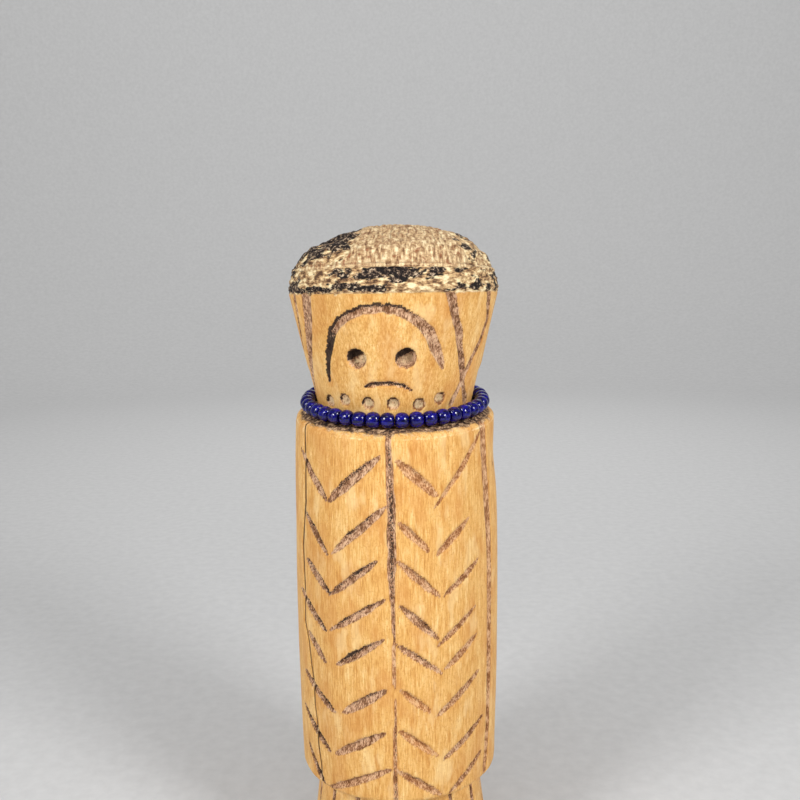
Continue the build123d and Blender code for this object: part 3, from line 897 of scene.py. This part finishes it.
def make_figure(material):
    carving = Carving()
    carving.carve_body()
    carving.split_crack()
    carving.carve_head()
    carving.carve_skirt()
    carving.wear_shoulder()
    carving.tear_crown()
    carving.burn_brim()
    carving.hand_work()
    figure = carving.build(material)
    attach(figure, "figure")
    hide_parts("carved_figure")


# ---- the necklace ----


def necklace_frame(angle):
    """A place on the thread, in mm: its X points outwards, its Y up and its Z along the thread."""
    ring = Matrix.Translation((0, 0, NECKLACE_HEIGHT)) @ Matrix.Rotation(SHOULDER_SLOPE, 4, "X")
    turned = ring @ Matrix.Rotation(math.radians(angle), 4, "Z")
    out_up_along = Matrix(((0, 0, 1), (-1, 0, 0), (0, 1, 0))).to_4x4()
    return turned @ Matrix.Translation((0, -NECKLACE_RADIUS, 0)) @ out_up_along


def lathe(profile, segments, wobble=None, closed=True):
    """A profile of (radius, height) turned about Z, its radius grown by a share that wobbles.

    closed joins the profile's last point to its first.
    """
    vertices = []
    faces = []
    count = len(profile)
    for segment in range(segments):
        turn = 2 * math.pi * segment / segments
        for radius, height in profile:
            grown = radius * (1 + wobble(turn, height)) if wobble else radius
            vertices.append((grown * math.cos(turn), grown * math.sin(turn), height))
        here = segment * count
        there = (segment + 1) % segments * count
        for index in range(count if closed else count - 1):
            after = (index + 1) % count
            faces.append((here + index, there + index, there + after, here + after))
    return vertices, faces


def bead_profile(diameter, length):
    """A plump wound bead: round outside, a little flat at its two ends, and open along its bore."""
    bore = BEAD_BORE / 2
    wall = diameter / 2 - bore
    points = []
    for turn in np.radians(np.linspace(-100, 100, 22)).tolist():
        points.append((bore + wall * (0.3 + 0.7 * math.cos(turn)), length / 2 * math.sin(turn)))
    mouth = [(bore + 0.12, length / 2 - 0.1), (bore, length / 2 - 0.5)]
    far_mouth = [(radius, -height) for radius, height in reversed(mouth)]
    return [*points, *mouth, (bore, 0), *far_mouth]


def make_bead(number, material):
    """Each bead is a little different in girth, length and roundness."""
    diameter = BEAD_DIAMETER * (0.98 + 0.02 * math.sin(2.4 * number))
    length = BEAD_LENGTH * (0.98 + 0.02 * math.cos(1.7 * number))
    phase = 2.1 * number

    def wobble(turn, height):
        oval = 0.008 * math.cos(2 * turn + phase)
        winding = 0.005 * math.sin(3 * turn + 1.6 * height + 1.3 * phase)
        return oval + winding - 0.013

    vertices, faces = lathe(bead_profile(diameter, length), 36, wobble)
    step = math.degrees(BEAD_PITCH / NECKLACE_RADIUS)
    place = necklace_frame((number - (BEAD_COUNT + 1) / 2) * step)
    moved = [place @ Vector(vertex) for vertex in vertices]
    bead = mesh_object(f"glass_bead_{number:02d}", moved, faces, material)
    node = f"bead_{number:02d}"
    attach(bead, node)
    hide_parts(node)


def make_thread(material, knot):
    """The thread: one turn round the neck that starts and ends in the knot."""
    curve = bpy.data.curves.new("bead_thread", "CURVE")
    curve.dimensions = "3D"
    curve.bevel_depth = THREAD_DIAMETER / 2 * MM
    curve.bevel_resolution = 5
    curve.resolution_u = 6
    curve.use_fill_caps = True
    first = 180 + THREAD_END
    angles = np.linspace(first, first + 360 - 2 * THREAD_END, THREAD_POINTS).tolist()
    spline = curve.splines.new("NURBS")
    spline.points.add(THREAD_POINTS - 1)
    for point, angle in zip(spline.points, angles):
        point.co = (*necklace_frame(angle).translation * MM, 1)
    spline.order_u = 3
    spline.use_endpoint_u = True
    curve.materials.append(material)
    thread = add_object("bead_thread", curve)
    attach(thread, "thread")
    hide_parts("necklace_thread")


def sweep(points, radii, sides, first, closed):
    """A tube through points, with a radius at each. A closed one joins its ends."""
    vertices = []
    faces = []
    points = [Vector(point) for point in points]
    count = len(points)
    guide = Vector((0.3, 0.8, 0.5)).normalized()
    for index, (point, radius) in enumerate(zip(points, radii)):
        before = points[index - 1] if index or closed else point
        after = points[(index + 1) % count] if closed or index < count - 1 else point
        along = (after - before).normalized()
        across = along.cross(guide).normalized()
        over = along.cross(across)
        guide = -over
        for side in range(sides):
            turn = 2 * math.pi * side / sides
            vertices.append(point + radius * (math.cos(turn) * across + math.sin(turn) * over))
    # A closed tube's last ring meets its first one where their corners lie nearest.
    seam = 0
    if closed:
        gaps = [(vertices[shift] - vertices[-sides]).length for shift in range(sides)]
        seam = gaps.index(min(gaps))
    for index in range(count if closed else count - 1):
        low = first + index * sides
        high = first + (index + 1) % count * sides
        shift = seam if index == count - 1 else 0
        for side in range(sides):
            beside = (side + 1) % sides
            far = (side + shift) % sides
            far_beside = (beside + shift) % sides
            faces.append((low + side, low + beside, high + far_beside, high + far))
    if not closed:
        last = first + (count - 1) * sides
        faces.append(tuple(range(first, first + sides))[::-1])
        faces.append(tuple(range(last, last + sides)))
    return vertices, faces


def make_knot(material):
    """An overhand knot in the doubled thread, with two cut tails that droop and fray."""
    turn = np.linspace(0, 2 * math.pi, KNOT_POINTS, endpoint=False)
    ring = 0.62 + 0.26 * np.cos(3 * turn)
    loop = zip(ring * np.cos(2 * turn), ring * np.sin(2 * turn), 0.42 * np.sin(3 * turn))
    runs = [(loop, [THREAD_DIAMETER / 2] * KNOT_POINTS, True)]
    share = np.linspace(0, 1, TAIL_POINTS)
    out = 0.5 + 6.2 * share
    frayed = 0.06 * np.maximum(0, np.arange(TAIL_POINTS) - (TAIL_POINTS - 3))
    tail_radii = (0.35 * (1 + 0.12 * np.sin(14 * share)) + frayed).tolist()
    for slant in (-TAIL_SLANT, TAIL_SLANT):
        aside = slant * out * (0.6 + 0.5 * share)
        runs.append((zip(out, -1.5 * share**1.6, aside), tail_radii, False))
    vertices = []
    faces = []
    for points, radii, closed in runs:
        made, made_faces = sweep(points, radii, 12, len(vertices), closed)
        vertices += made
        faces += made_faces
    place = necklace_frame(180)
    knot = mesh_object("thread_knot", [place @ vertex for vertex in vertices], faces, material)
    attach(knot, "knot")
    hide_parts("necklace_knot")
    return knot


# ---- studio ----


def make_studio():
    """A pale paper floor that rises into a round backdrop."""
    flat = 1200
    bend = 600
    profile = [(1, 0), (400, 0), (800, 0), (flat, 0)]
    for turn in np.radians(np.linspace(7.5, 90, 12)).tolist():
        profile.append((flat + bend * math.sin(turn), bend * (1 - math.cos(turn))))
    profile.append((flat + bend, 1400))
    vertices, faces = lathe(profile, 72, closed=False)
    floor = mesh_object("paper_floor", vertices, faces, studio_paper(), outward=False)


def make_light(name, place, size, power, target=(0, 0, 0.15)):
    """An area light, aimed at the middle of the doll unless told otherwise."""
    lamp = bpy.data.lights.new(name, "AREA")
    lamp.shape = "RECTANGLE"
    lamp.size, lamp.size_y = size
    lamp.energy = power
    made = add_object(name, lamp)
    made.location = place
    made.rotation_euler = (Vector(target) - Vector(place)).to_track_quat("-Z", "Y").to_euler()


def make_lights():
    make_light("softbox_left", (-0.4, -0.44, 0.5), (0.18, 0.18), 2.75)
    make_light("softbox_right", (0.4, -0.44, 0.5), (0.18, 0.18), 3.1)
    make_light("overhead", (-0.1, -0.45, 1.1), (0.4, 0.25), 0.9)
    make_light("right", (0.75, -0.6, 0.35), (0.3, 0.5), 0.9)
    make_light("left", (-0.8, -0.5, 0.35), (0.3, 0.5), 0.8)
    make_light("back", (0.2, 0.9, 0.8), (0.6, 0.4), 0.8)
    make_light("backdrop", (0, 0.4, 1.1), (1.0, 0.3), 9, target=(0, 1.8, 0.5))
    world = bpy.data.worlds.new("studio")
    bpy.context.scene.world = world
    world.use_nodes = True
    background = world.node_tree.nodes["Background"]
    background.inputs["Color"].default_value = (1, 1, 1, 1)
    background.inputs["Strength"].default_value = 0.22


def make_camera():
    """A camera a third of a metre in front of the doll, level with its crown and tipped down."""
    lens = bpy.data.cameras.new("camera")
    lens.sensor_width = 36
    lens.lens = 43.4
    camera = add_object("camera", lens)
    camera.location = (1.8 * MM, -337.6 * MM, 227.2 * MM)
    look_down = 9
    roll = -0.7
    tipped = Matrix.Rotation(math.radians(90 - look_down), 4, "X")
    rolled = Matrix.Rotation(math.radians(roll), 4, "Z")
    camera.rotation_euler = (tipped @ rolled).to_euler()
    bpy.context.scene.camera = camera
    bpy.context.scene.view_settings.view_transform = "Standard"


make_camera()
make_lights()
make_studio()
make_figure(carved_wood())
glass = cobalt_glass()
for bead_number in range(1, BEAD_COUNT + 1):
    make_bead(bead_number, glass)
cotton = cotton_thread()
make_thread(cotton, make_knot(cotton))
